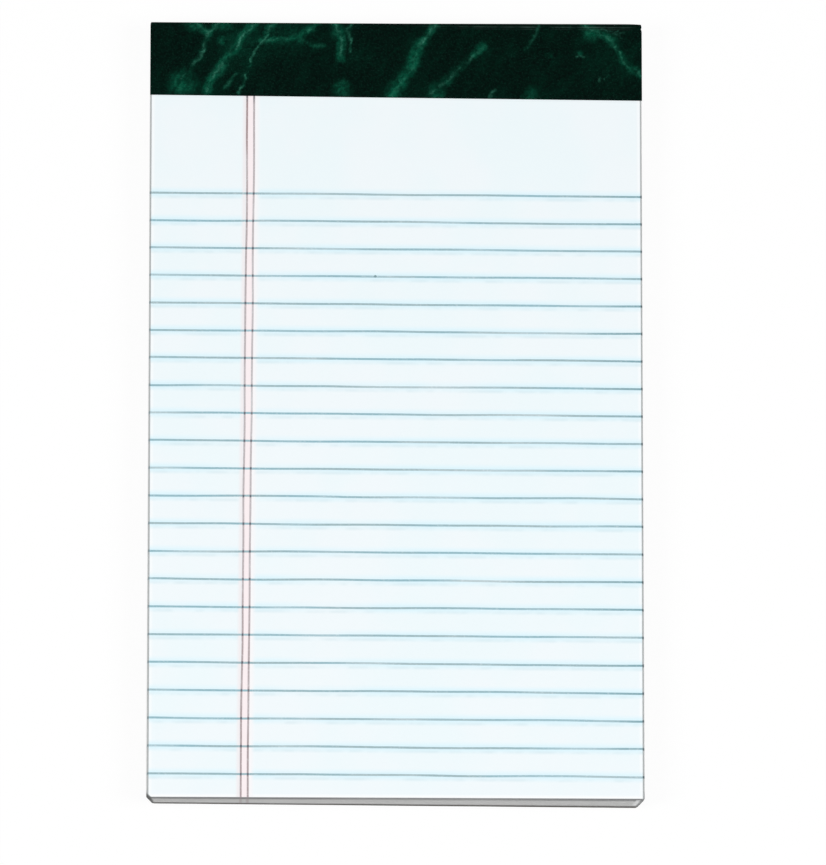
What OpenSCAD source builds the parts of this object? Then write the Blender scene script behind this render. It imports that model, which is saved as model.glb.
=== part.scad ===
// Junior legal pad: white ruled sheets on a stiff backing board, wire stitched along the head
// and wrapped there in a folded strip of binding tape. It lies on its back, writing face up.
// X runs across the page, Y runs up the page towards the bound head, and Z points up.
// The origin is under the middle of the pad, on the surface that it lies on.

/* [Sheets] */
// Width of each sheet, and so of the whole pad
sheet_w = 127; // [100:0.5:220]
// Length of each sheet, from the foot to the bound head
sheet_l = 203.2; // [150:0.1:360]
// Number of sheets in the stack
sheet_count = 50; // [25:1:80]
// Height that one sheet takes up in the stack
sheet_pitch = 0.13; // [0.08:0.005:0.16]
// How far the cut foot slants out from the top sheet down to the back of the board
foot_slant = 0.35; // [0:0.05:1]
// Radius to which the tape pulls the top sheets down along the head
head_round = 0.9; // [0.3:0.05:1.5]

/* [Backing board] */
// Thickness of the chipboard back
board_t = 1.5; // [0.8:0.1:2.5]
// Radius of the board's crushed edge along the head
board_round = 0.4; // [0.1:0.05:0.7]

/* [Binding tape] */
// Thickness of the tape
tape_t = 0.2; // [0.1:0.01:0.4]
// Reach of the tape down the writing face, at the middle of the page
front_flap = 19.7; // [14:0.1:30]
// Reach of the tape down the back, at the middle of the page
back_flap = 18.5; // [14:0.1:30]
// Angle by which the tape lies askew on the head
tape_skew = 0.39; // [0:0.01:0.8]

/* [Wire stitches] */
// Distance from each side of the pad to the middle of a stitch
stitch_side = 30; // [15:0.5:40]
// Distance from the head to the middle of the wire
stitch_inset = 8; // [5:0.5:11]
// Length of the crown that lies on the sheets
crown_w = 12.7; // [8:0.1:18]
// Width of the flat wire
wire_w = 0.8; // [0.5:0.05:1.2]
// Thickness of the flat wire
wire_t = 0.4; // [0.25:0.05:0.6]
// Inner radius of the wire's bends
wire_bend = 0.5; // [0.2:0.05:0.9]
// Gap between the two clinched ends on the back
clinch_gap = 2; // [0.5:0.1:5]

/* [Ruling] */
// Distance from the head to the first rule, at the middle of the page
first_rule = 45.4; // [32:0.1:60]
// Distance between neighbouring rules
rule_pitch = 7.235; // [5:0.005:10]
// Least blank left below the last rule
foot_blank = 4; // [1:0.5:20]
// Width of a ruled line
rule_w = 0.5; // [0.2:0.02:0.8]
// Angle by which the ruling lies askew on the sheet
rule_skew = 0.2; // [0:0.01:0.6]

/* [Margin lines] */
// Distance from the left side to the middle of the pair, half way down the page
margin_x = 25.5; // [15:0.1:40]
// Distance between the middles of the two lines
margin_pair = 1.75; // [1:0.05:3]
// Width of each margin line
margin_w = 0.45; // [0.15:0.01:0.6]
// Angle by which the margin lines lie askew on the sheet
margin_skew = 0.39; // [0:0.01:0.6]

/* [Print] */
// Height of the ink film on the paper
ink_t = 0.02; // [0.01:0.005:0.05]

/* [Hidden] */
$fn = 48;

// Length by which a cutting shape runs past what it cuts
over = 1;

// Heights, from the surface that the pad lies on: the back flap of the tape lies below the board
board_back = tape_t;
board_top = board_back + board_t;
stack_top = board_top + sheet_count * sheet_pitch;
pad_h = stack_top + tape_t;

// Foot and head of the top sheet. The slant of the foot and the tape at the head lie outside them.
foot_y = (foot_slant - sheet_l - tape_t) / 2;
head_y = foot_y + sheet_l;

// Where the slanted foot lies at a height
function foot_at(z) = foot_y - foot_slant * (stack_top - z) / (stack_top - board_back);

// The rules fill the page from the first one down to the foot
rule_count = 1 + floor((sheet_l - first_rule - foot_blank) / rule_pitch);

// What is cut away to round the corner at x, y by the radius r.
// side and up are 1 or -1: the way that the corner points.
module round_off(x, y, r, side, up) {
    translate([x - side * r, y - up * r])
        difference() {
            translate([side * (r + over) / 2, up * (r + over) / 2])
                square(r + over, center = true);
            circle(r);
        }
}

// Section along the page, with its foot given at the low and the high side,
// and with the upper and lower corners at the head rounded
module head_section(foot_low, foot_high, head, low, high, upper_r, lower_r) {
    difference() {
        polygon([[foot_low, low], [head, low], [head, high], [foot_high, high]]);
        if (upper_r > 0)
            round_off(head, high, upper_r, 1, 1);
        if (lower_r > 0)
            round_off(head, low, lower_r, 1, -1);
    }
}

// A section along the page, drawn in Y and Z, run across the width of the pad
module across(width) {
    rotate([90, 0, 90])
        linear_extrude(width, center = true)
            children();
}

// Rectangle centred on x = 0 with all four corners rounded
module rounded_frame(width, low, high, r) {
    difference() {
        translate([-width / 2, low])
            square([width, high - low]);
        for (side = [-1, 1]) {
            round_off(side * width / 2, high, r, side, 1);
            round_off(side * width / 2, low, r, side, -1);
        }
    }
}

// One stitch seen from the foot: crown above, two legs, and two ends clinched towards each other
module stitch_outline() {
    difference() {
        rounded_frame(crown_w, board_back, stack_top, wire_bend + wire_t);
        rounded_frame(crown_w - 2 * wire_t, board_back + wire_t, stack_top - wire_t, wire_bend);
        translate([-clinch_gap / 2, board_back - over])
            square([clinch_gap, wire_t + 2 * over]);
    }
}

// Both stitches, in place
module stitch_pair() {
    for (side = [-1, 1])
        translate([side * (sheet_w / 2 - stitch_side), head_y - stitch_inset, 0])
            rotate([90, 0, 0])
                linear_extrude(wire_w, center = true)
                    stitch_outline();
}

// All that lies on the foot side of a flap's edge, between two heights
module past_flap(reach, skew, low, high) {
    translate([0, head_y - reach, low])
        rotate(-skew)
            translate([-sheet_w, -2 * sheet_l, 0])
                cube([2 * sheet_w, 2 * sheet_l, high - low]);
}

// The rules as plain bars between two heights, longer than the page is wide
module rule_bars(low, high) {
    for (i = [0 : rule_count - 1])
        translate([0, head_y - first_rule - i * rule_pitch, (low + high) / 2])
            rotate(-rule_skew)
                cube([2 * sheet_w, rule_w, high - low], center = true);
}

// The margin lines as plain bars, longer than the page
module margin_bars() {
    translate([margin_x - sheet_w / 2, foot_y + sheet_l / 2, stack_top + ink_t / 2])
        rotate(-margin_skew)
            for (side = [-1, 1])
                translate([side * margin_pair / 2, 0, 0])
                    cube([margin_w, 2 * sheet_l, ink_t], center = true);
}

// The space just above the top sheet, one ink film high
module print_area() {
    translate([-sheet_w / 2, foot_y, stack_top])
        cube([sheet_w, sheet_l, ink_t]);
}

// The whole stack, with the pockets that the stitches press and pierce in it
module ruled_sheets() {
    color([0.94, 0.97, 0.98])
        difference() {
            across(sheet_w)
                head_section(foot_at(board_top), foot_at(stack_top), head_y, board_top, stack_top, head_round, 0);
            stitch_pair();
        }
}

// Chipboard back, cut in one stroke with the sheets
module backing_board() {
    color([0.56, 0.53, 0.48])
        difference() {
            across(sheet_w)
                head_section(foot_at(board_back), foot_at(board_top), head_y, board_back, board_top, 0, board_round);
            stitch_pair();
        }
}

// One strip folded over the head, with its two long edges cut on the skew
module binding_tape() {
    flap_end = head_y - max(front_flap, back_flap) - sheet_w * tan(tape_skew);
    color([0.03, 0.13, 0.10])
        difference() {
            across(sheet_w)
                head_section(flap_end, flap_end, head_y + tape_t, 0, pad_h,
                             head_round + tape_t, board_round + tape_t);
            across(sheet_w + 2 * over)
                head_section(flap_end - over, flap_end - over, head_y, board_back, stack_top,
                             head_round, board_round);
            past_flap(front_flap, tape_skew, board_top, pad_h + over);
            past_flap(back_flap, -tape_skew, -over, board_top);
        }
}

// Two stitches of flat wire that hold the sheets to the board, flush with both and under the tape
module wire_stitches() {
    color([0.72, 0.72, 0.74])
        stitch_pair();
}

// Ruled lines from edge to edge of the page
module ruled_lines() {
    color([0.60, 0.74, 0.79])
        intersection() {
            print_area();
            rule_bars(stack_top, stack_top + ink_t);
        }
}

// Double margin line from the tape to the foot, parted where the rules cross it
module margin_lines() {
    color([0.80, 0.62, 0.65])
        difference() {
            intersection() {
                print_area();
                margin_bars();
                past_flap(front_flap, tape_skew, stack_top - over, stack_top + over);
            }
            rule_bars(stack_top - over, stack_top + over);
        }
}

ruled_sheets();
backing_board();
binding_tape();
wire_stitches();
ruled_lines();
margin_lines();
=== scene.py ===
"""Dresses the packed junior legal pad: cut sheets, chipboard back, marbled tape, wire and print."""

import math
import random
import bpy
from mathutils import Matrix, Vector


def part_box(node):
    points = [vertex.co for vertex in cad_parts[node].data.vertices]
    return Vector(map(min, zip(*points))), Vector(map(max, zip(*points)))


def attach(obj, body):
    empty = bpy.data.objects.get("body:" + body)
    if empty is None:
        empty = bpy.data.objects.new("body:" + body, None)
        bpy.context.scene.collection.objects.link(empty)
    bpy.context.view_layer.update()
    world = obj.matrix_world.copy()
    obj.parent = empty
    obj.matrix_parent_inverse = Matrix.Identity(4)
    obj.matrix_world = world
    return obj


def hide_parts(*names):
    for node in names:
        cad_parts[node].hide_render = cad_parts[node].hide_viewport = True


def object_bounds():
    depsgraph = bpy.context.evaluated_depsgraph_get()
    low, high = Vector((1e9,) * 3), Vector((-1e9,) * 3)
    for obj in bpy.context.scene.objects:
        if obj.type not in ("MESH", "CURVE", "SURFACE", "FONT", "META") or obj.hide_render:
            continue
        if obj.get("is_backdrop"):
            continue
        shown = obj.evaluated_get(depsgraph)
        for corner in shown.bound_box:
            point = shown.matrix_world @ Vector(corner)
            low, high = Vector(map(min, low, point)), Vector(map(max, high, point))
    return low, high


bl_info = {
    "name": "Junior Legal Pad",
    "version": (1, 0, 0),
    "blender": (4, 5, 0),
    "location": "3D View > Sidebar > Legal Pad",
    "description": "Sheets, print, binding tape and board of a top-bound writing pad, with its studio",
    "category": "Object",
}

from functools import cached_property

import bmesh
import bpy
from mathutils import Matrix, Vector, noise

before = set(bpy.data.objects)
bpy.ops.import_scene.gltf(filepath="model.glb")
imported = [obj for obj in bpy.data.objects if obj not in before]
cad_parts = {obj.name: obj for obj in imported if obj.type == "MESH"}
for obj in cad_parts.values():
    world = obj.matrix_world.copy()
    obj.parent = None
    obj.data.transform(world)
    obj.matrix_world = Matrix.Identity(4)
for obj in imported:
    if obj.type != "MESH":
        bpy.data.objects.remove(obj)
CAD_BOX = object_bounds()

# Places that the frame gives, in metres
MM = 0.001
SHEETS_LOW, SHEETS_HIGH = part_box("ruled_sheets")
BOARD_LOW, BOARD_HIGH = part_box("backing_board")
TAPE_LOW, TAPE_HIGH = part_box("binding_tape")
STITCH_LOW, STITCH_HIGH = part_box("wire_stitches")
RULES_LOW, RULES_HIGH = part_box("ruled_lines")
MARGIN_LOW, MARGIN_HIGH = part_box("margin_lines")
PAGE_TOP = SHEETS_HIGH.z
PAGE_SIDE = SHEETS_HIGH.x
PAGE_FOOT = MARGIN_LOW.y
TAPE_THICK = TAPE_HIGH.z - PAGE_TOP
INK_THICK = RULES_HIGH.z - RULES_LOW.z

# Corners of the frame closer than this lie at one place
SAME_PLACE = 0.02 * MM
# Corners of print further apart than this belong to separate lines
LINE_GAP = 1.0 * MM


def node_points(node):
    """The corner points of a frame node."""
    return [vertex.co.copy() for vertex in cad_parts[node].data.vertices]


def printed_lines(node, along):
    """Both ends of each line of a print node, and the width of a line. The lines run along one axis
    of the page, 0 or 1, and their ends are places on the other axis, in order."""
    points = node_points(node)
    ends = []
    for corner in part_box(node):
        places = sorted(p[1 - along] for p in points if abs(p[along] - corner[along]) < 2 * SAME_PLACE)
        lines = [[places[0]]]
        for place in places[1:]:
            if place - lines[-1][-1] > LINE_GAP:
                lines.append([])
            lines[-1].append(place)
        ends.append(lines)
    middles = [[(line[0] + line[-1]) / 2 for line in lines] for lines in ends]
    first = ends[0][0]
    return list(zip(*middles)), first[-1] - first[0]


def tape_flap(level):
    """Both ends of the cut edge of the tape's flap at this height, and the outer radius of its fold."""
    corners = [p for p in node_points("binding_tape") if abs(p.z - level) < SAME_PLACE]
    left = min(p.y for p in corners if p.x < 0)
    right = min(p.y for p in corners if p.x > 0)
    return (left, right), TAPE_HIGH.y - max(p.y for p in corners)


RULES, RULE_WIDTH = printed_lines("ruled_lines", 0)
MARGINS, MARGIN_WIDTH = printed_lines("margin_lines", 1)
RULE_PITCH = (RULES[-1][0] - RULES[0][0]) / (len(RULES) - 1)
RULE_SLOPE = (RULES[0][1] - RULES[0][0]) / (RULES_HIGH.x - RULES_LOW.x)
MARGIN_SLOPE = (MARGINS[0][1] - MARGINS[0][0]) / (MARGIN_HIGH.y - MARGIN_LOW.y)
STITCH_START = min(abs(p.x) for p in node_points("wire_stitches"))
FRONT_EDGE, FRONT_FOLD = tape_flap(TAPE_HIGH.z)
BACK_EDGE, BACK_FOLD = tape_flap(TAPE_LOW.z)
QUARTER = math.pi / 2
# Flat length of the tape's spine between its folds, and with both folds
SPINE_FLAT = TAPE_HIGH.z - TAPE_LOW.z - FRONT_FOLD - BACK_FOLD
SPINE = QUARTER * (FRONT_FOLD + BACK_FOLD) + SPINE_FLAT


def between(start, end, part):
    """What lies this part of the way from start to end."""
    return start + (end - start) * part


def ripple(*place):
    """Smooth noise from -1 to 1 at a place."""
    return noise.noise(Vector(place))


def linear(*levels):
    """A colour written in the 0 to 255 of a screen, as the light that it stands for."""
    shares = [level / 255 for level in levels]
    return tuple(s / 12.92 if s <= 0.04045 else ((s + 0.055) / 1.055) ** 2.4 for s in shares)


def millimetres(name, description, size):
    """A length setting, given in millimetres."""
    return bpy.props.FloatProperty(
        name=name, description=description, default=size * MM, unit="LENGTH", precision=5
    )


def degrees(name, description, angle):
    """An angle setting, given in degrees."""
    return bpy.props.FloatProperty(
        name=name, description=description, default=math.radians(angle), subtype="ANGLE"
    )


def share(name, description, value):
    """A plain number setting."""
    return bpy.props.FloatProperty(name=name, description=description, default=value, min=0)


def count(name, description, value):
    """A whole number setting."""
    return bpy.props.IntProperty(name=name, description=description, default=value, min=1)


def colour(name, description, red, green, blue):
    """A colour setting, given in the 0 to 255 of a screen."""
    light = linear(red, green, blue)
    return bpy.props.FloatVectorProperty(
        name=name, description=description, default=light, subtype="COLOR", size=3, min=0, max=1
    )


class SheetSettings(bpy.types.PropertyGroup):
    """The stack of cut sheets."""

    sheets: count("Sheets", "How many sheets the stack shows on its cut sides", 50)
    groove: millimetres("Groove", "Depth of the gap between two sheets", 0.045)
    wander: millimetres("Wander", "How far the cut of one sheet strays from the next", 0.02)
    sway: millimetres("Sway", "How far a loose sheet strays sideways at the foot", 0.05)
    roll: millimetres("Roll", "How far the top sheets are pressed in along the sides", 0.42)
    foot_roll: millimetres("Foot roll", "How far the top sheets are pressed in along the foot", 0.08)
    roll_depth: millimetres("Roll depth", "Depth of the stack that is pressed in", 0.3)
    twist: millimetres("Twist", "How far the foot's cut runs out at the right of the board", 0.7)
    left_corner: millimetres("Left corner", "Worn off the top sheet at the left of the foot", 0.6)
    right_corner: millimetres("Right corner", "Worn off the top sheet at the right of the foot", 0.05)
    left_wear: millimetres("Left wear", "How much more is worn off the board at the left", 0.9)
    right_wear: millimetres("Right wear", "How much more is worn off the board at the right", 1.7)
    paper: colour("Paper", "The page", 242, 249, 252)
    paper_cool: colour("Cool paper", "The greener clouds in the page", 239, 249, 252)
    # Painted highlight: lighter paper along the page's foot and sides, and on the right corner's cut
    rim_highlight: colour("Paper rim", "The bright rim of the page at its foot and sides", 252, 254, 255)
    edge: colour("Cut edge", "The cut sides of the stack", 221, 221, 220)
    # Grey of random streaks in the sides, also laid on as painted shade along the top and bottom of the
    # foot
    edge_streaks_and_shade: colour("Dull edge", "Darkened sheets at the foot, and streaks in the sides", 143, 144, 145)
    # Painted shade: grey on the pressed rim of the top sheet
    rim_shade: colour("Shaded edge", "The pressed rim of the top sheet", 177, 181, 182)
    # Painted shade along the cut of the left corner of the foot
    corner_shade: colour("Corner shade", "Shade on the left corner of the foot", 84, 84, 82)


class PrintSettings(bpy.types.PropertyGroup):
    """The ruled lines and margin lines."""

    rule: colour("Rule", "Ink of the ruled lines", 149, 186, 197)
    rule_grey: colour("Grey rule", "Ink of the ruled lines where it is duller", 158, 183, 189)
    rule_deep: colour("Deep rule", "Ink of the ruled lines at their right end", 132, 168, 178)
    rule_tick: colour("Rule tick", "Where the rules run off the sides of the page", 50, 66, 70)
    rule_glow: colour("Rule glow", "Tint of the paper beside a rule", 222, 246, 254)
    margin: colour("Margin", "Ink of the margin lines", 174, 159, 161)
    margin_grey: colour("Grey margin", "Ink of the margin lines where it is duller", 192, 185, 188)
    margin_deep: colour("Deep margin", "Ink of the left margin line at the head", 167, 147, 148)
    margin_left: colour("Margin left", "Tint of the paper left of the margin lines", 243, 239, 241)
    margin_glow: colour("Margin glow", "Tint of the paper between the margin lines", 251, 240, 242)
    margin_right: colour("Margin right", "Tint of the paper right of the margin lines", 249, 248, 250)
    crossing: colour("Crossing", "Where a margin line is printed over a rule", 98, 105, 115)
    blot: colour("Blot", "The dark speck on one rule", 128, 156, 162)
    gain: millimetres("Ink gain", "How far the ink spreads past each edge of a line", 0.02)
    ragged: millimetres("Ragged", "How far the edge of a line strays", 0.025)
    drift: millimetres("Drift", "How far a whole line strays from straight", 0.17)
    drift_run: millimetres("Drift run", "Length along a line between one stray and the next", 20)
    step: millimetres("Step", "Spacing of the points along a line", 1.5)
    speck: millimetres("Speck", "Radius of the blot on one rule", 0.3)
    speck_x: millimetres("Speck place", "Where the blot lies across the page", -5.3)
    speck_rule: count("Speck rule", "Which rule from the head carries the blot", 4)


class BoardSettings(bpy.types.PropertyGroup):
    """The chipboard back."""

    soften: millimetres("Soften", "Radius of the board's edges", 0.2)
    rough: millimetres("Rough", "How far the cut edge strays", 0.02)
    # The cut edge's own darker grey, with painted shade added to it
    cut: colour("Cut board", "The board's dark cut edge", 112, 110, 107)
    grey: colour("Board", "The board's grey", 150, 145, 136)
    dark: colour("Fibres", "Dark fibres and flecks", 92, 88, 82)
    light: colour("Flecks", "Pale flecks", 196, 191, 182)


class TapeSettings(bpy.types.PropertyGroup):
    """The marbled binding tape."""

    ridge: millimetres("Stitch ridge", "How far the tape rises over a stitch", 0.07)
    wave: millimetres("Wave", "How far the tape's face waves", 0.012)
    overhang: millimetres("Overhang", "How far the tape stands past the right side", 0.15)
    nick: millimetres("Nick", "Depth of the nick in the right end, just below the fold", 0.22)
    swell: millimetres("Swell", "How far the fold stands proud of the head at its right end", 0.22)
    droop: millimetres("Droop", "How far the fold is flattened at its right end", 0.15)
    droop_run: millimetres("Droop run", "Length of the fold that is flattened", 4)
    fold_ends: millimetres("Fold ends", "How far the fold's ends stand back from the flap's", 0.2)
    black: colour("Ground", "The darkest ground of the marbling", 0, 9, 6)
    green: colour("Clouds", "Green clouds in the ground", 1, 40, 28)
    emerald: colour("Bands", "The broad bands", 4, 80, 58)
    pale: colour("Veins", "The thin veins inside the bands", 66, 130, 110)
    # Painted highlight: two thin lighter lines along the fold
    worn: colour("Fold highlight", "The rubbed lines along the fold", 92, 116, 108)


class WireSettings(bpy.types.PropertyGroup):
    """The stitches of flat wire."""

    bright: colour("Wire", "Bright galvanised wire", 190, 190, 194)
    dull: colour("Dull wire", "Dull patches on the wire", 128, 129, 133)


class StageSettings(bpy.types.PropertyGroup):
    """The floor, the light and the camera."""

    aim_x: millimetres("Aim across", "Point across the page that the camera looks at", 4.406)
    aim_y: millimetres("Aim along", "Point along the page that the camera looks at", -6.323)
    tilt: degrees("Tilt", "Camera's lean from straight down, towards the foot", 11.7)
    turn: degrees("Turn", "Camera's turn round the pad", 7.052)
    roll: degrees("Roll", "Camera's roll round its own line of sight", 7.196)
    distance: millimetres("Distance", "Distance from the camera to the page", 2818.97)
    lens: share("Lens", "Focal length in millimetres on a 36 mm high sensor", 456.735)
    floor: millimetres("Floor", "Side of the square floor", 20000)
    floor_glow: share("Floor glow", "Share of the floor's white that shadows don't touch", 0.93)
    lamp_reach: millimetres("Lamp reach", "Distance of each lamp to the side", 900)
    lamp_lead: millimetres("Lamp lead", "Distance of the lamps towards the foot", 150)
    lamp_height: millimetres("Lamp height", "Height of the lamps", 950)
    lamp_size: millimetres("Lamp size", "Side of each square lamp", 600)
    lamp_power: share("Lamp power", "Power of each lamp in watts", 9.05)
    ambient: share("Ambient", "Strength of the light from all round", 0.28)


SETTINGS = {
    "pad_sheets": SheetSettings,
    "pad_print": PrintSettings,
    "pad_board": BoardSettings,
    "pad_tape": TapeSettings,
    "pad_wire": WireSettings,
    "pad_stage": StageSettings,
}


class Value:
    """An output in a shader. Arithmetic on it adds Math nodes to the same shader."""

    def __init__(self, finish, socket):
        self.finish = finish
        self.socket = socket

    def math(self, operation, *values):
        """A Math node on these values."""
        return self.finish.node("ShaderNodeMath", {"operation": operation}, dict(enumerate(values)))

    def __add__(self, other):
        return self.math("ADD", self, other)

    def __sub__(self, other):
        return self.math("SUBTRACT", self, other)

    def __rsub__(self, other):
        return self.math("SUBTRACT", other, self)

    def __mul__(self, other):
        return self.math("MULTIPLY", self, other)

    def __truediv__(self, other):
        return self.math("DIVIDE", self, other)

    def __rtruediv__(self, other):
        return self.math("DIVIDE", other, self)

    def __abs__(self):
        return self.math("ABSOLUTE", self)

    __radd__ = __add__
    __rmul__ = __mul__

    def fraction(self):
        """What is left above the next lower whole number."""
        return self.math("FRACT", self)

    def lower(self, other):
        """The lower of two values."""
        return self.math("MINIMUM", self, other)

    def higher(self, other):
        """The higher of two values."""
        return self.math("MAXIMUM", self, other)

    def rise(self, start, end):
        """A smooth rise from 0 at start to 1 at end."""
        sockets = {"Value": self, "From Min": start, "From Max": end}
        return self.finish.node("ShaderNodeMapRange", {"interpolation_type": "SMOOTHSTEP"}, sockets)

    def fall(self, start, end):
        """A smooth fall from 1 at start to 0 at end."""
        return 1 - self.rise(start, end)


class Finish:
    """A shader that is being written, in a material or in the world. Its tone starts as the ground
    colour, where it has one."""

    # Sockets of the Mix node for the two things that it mixes, and for its result
    MIX_SOCKETS = {"RGBA": (6, 7, 2), "VECTOR": (4, 5, 1)}

    def __init__(self, owner, ground=None):
        owner.use_nodes = True
        self.owner = owner
        self.tone = ground
        self.tree = owner.node_tree
        self.tree.nodes.clear()

    def node(self, kind, settings=None, sockets=None, output=0):
        """Any node: its settings are set first, then its sockets take values or links."""
        made = self.tree.nodes.new(kind)
        for name, value in (settings or {}).items():
            setattr(made, name, value)
        for key, value in (sockets or {}).items():
            socket = made.inputs[key]
            if isinstance(value, Value):
                self.tree.links.new(value.socket, socket)
            elif socket.type == "RGBA":
                socket.default_value = (*value[:3], 1)
            else:
                socket.default_value = value
        return Value(self, made.outputs[output]) if made.outputs else None

    def mix(self, factor, first, second, kind="RGBA"):
        """A colour or a vector between two others."""
        a, b, result = self.MIX_SOCKETS[kind]
        return self.node("ShaderNodeMix", {"data_type": kind}, {0: factor, a: first, b: second}, result)

    def paint(self, mask, colour):
        """Lays a colour over the tone so far, as far as the mask is above 0."""
        self.tone = self.mix(mask, self.tone, colour)

    def vector(self, operation, *values, output=0):
        """A Vector Math node on these vectors."""
        settings = {"operation": operation}
        return self.node("ShaderNodeVectorMath", settings, dict(enumerate(values)), output)

    def distance(self, first, second):
        """The distance between two points."""
        return self.vector("DISTANCE", first, second, output="Value")

    def scaled(self, vector, factor):
        """A vector made longer by a factor."""
        sockets = {"Vector": vector, "Scale": factor}
        return self.node("ShaderNodeVectorMath", {"operation": "SCALE"}, sockets)

    @cached_property
    def place(self):
        """The point on the piece, in millimetres."""
        return self.scaled(self.node("ShaderNodeTexCoord", output="Object"), 1 / MM)

    def axes(self, vector=None):
        """The three numbers of a vector, or else of the point on the piece."""
        split = self.node("ShaderNodeSeparateXYZ", None, {0: vector or self.place}).socket.node
        return [Value(self, socket) for socket in split.outputs]

    def joined(self, x, y, z):
        """A vector made of three numbers."""
        return self.node("ShaderNodeCombineXYZ", None, {0: x, 1: y, 2: z})

    def noise(self, size, detail=2.0, rough=0.5, at=None, squeeze=None, output="Fac"):
        """Noise whose lumps are about this many millimetres across, squeezed by a factor on each axis.
        It is taken at the point on the piece, or else at another point."""
        place = at or self.place
        if squeeze:
            place = self.vector("MULTIPLY", place, squeeze)
        sockets = {"Vector": place, "Scale": 1 / size, "Detail": detail, "Roughness": rough}
        return self.node("ShaderNodeTexNoise", None, sockets, output)

    def bump(self, height, depth):
        """A normal from a height between 0 and 1 that stands for this many millimetres."""
        sockets = {"Height": height, "Strength": 1.0, "Distance": depth * MM}
        return self.node("ShaderNodeBump", None, sockets)

    def surface(self, **sockets):
        """Ends the shader in a Principled surface of the painted tone."""
        named = {name.replace("_", " "): value for name, value in sockets.items()}
        shader = self.node("ShaderNodeBsdfPrincipled", None, {"Base Color": self.tone, **named})
        self.node("ShaderNodeOutputMaterial", None, {"Surface": shader})
        return self.owner


def new_finish(name, ground=None):
    """A shader for a new material."""
    return Finish(bpy.data.materials.new(name), ground)


def rule_offset(finish):
    """Millimetres up the page from the nearest rule, and 1 where the page has rules."""
    x, y, _ = finish.axes()
    first = sum(RULES[0]) / 2 / MM
    pitch = RULE_PITCH / MM
    step = (y - x * RULE_SLOPE - first) / pitch
    ruled = step.rise(-0.4, -0.3) * step.fall(len(RULES) - 0.7, len(RULES) - 0.6)
    return ((step + 0.5).fraction() - 0.5) * pitch, ruled


def margin_offsets(finish):
    """Millimetres to the right of the left margin line, and of the right one."""
    x, y, _ = finish.axes()
    upright = x - (y - MARGIN_LOW.y / MM) * MARGIN_SLOPE
    return [upright - lower / MM for lower, _ in MARGINS]


def paper_face(look, ink):
    """Uncoated white paper, faintly clouded, with ink bled into it beside the lines."""
    finish = new_finish("uncoated_paper", look.paper)
    x, y, _ = finish.axes()
    fibres = finish.noise(0.4, 3, 0.6)
    finish.paint(finish.noise(22, 3).rise(0.4, 0.66), look.paper_cool)
    side, foot = (PAGE_SIDE - look.roll) / MM, PAGE_FOOT / MM
    # Painted highlight: the page is lighter in a thin rim along its foot and sides
    rim = y.fall(foot + 0.3, foot + 1.1).higher(abs(x).rise(side - 1.1, side - 0.4) * 0.6)
    finish.paint(rim, look.rim_highlight)
    offset, ruled = rule_offset(finish)
    bleed = abs(offset).fall(0.1, 1.9) * ruled * finish.noise(30).rise(0.1, 0.6)
    finish.paint(bleed, ink.rule_glow)
    smear = abs(offset + 1.05).fall(0.0, 0.7) * ruled * finish.noise(5, 3).rise(0.35, 0.65)
    finish.paint(smear * 0.14, ink.rule)
    beside, past = margin_offsets(finish)
    finish.paint(beside.rise(-1.6, -0.55) * beside.fall(-0.5, -0.1), ink.margin_left)
    finish.paint(past.rise(0.0, 0.3) * past.fall(0.5, 1.9), ink.margin_right)
    finish.paint(beside.rise(-0.4, 0.1) * past.fall(-0.1, 0.4), ink.margin_glow)
    return finish.surface(
        Roughness=0.78 + fibres * 0.16,
        Specular_IOR_Level=0.15,
        Normal=finish.bump(fibres, 0.008),
    )


def corner_distance(look, x, y, depth):
    """Millimetres from the worn corners of the foot, at a depth below the page."""
    down = depth / ((PAGE_TOP - BOARD_LOW.z) / MM)
    side = PAGE_SIDE / MM
    to_right = (x / side + 1) / 2
    foot = PAGE_FOOT / MM - down * ((PAGE_FOOT - BOARD_LOW.y) / MM + to_right * (look.twist / MM))
    from_left = side + x - (look.left_corner / MM + down * (look.left_wear / MM))
    from_right = side - x - (look.right_corner / MM + down * (look.right_wear / MM))
    return from_left.lower(from_right) + y - foot


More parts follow.
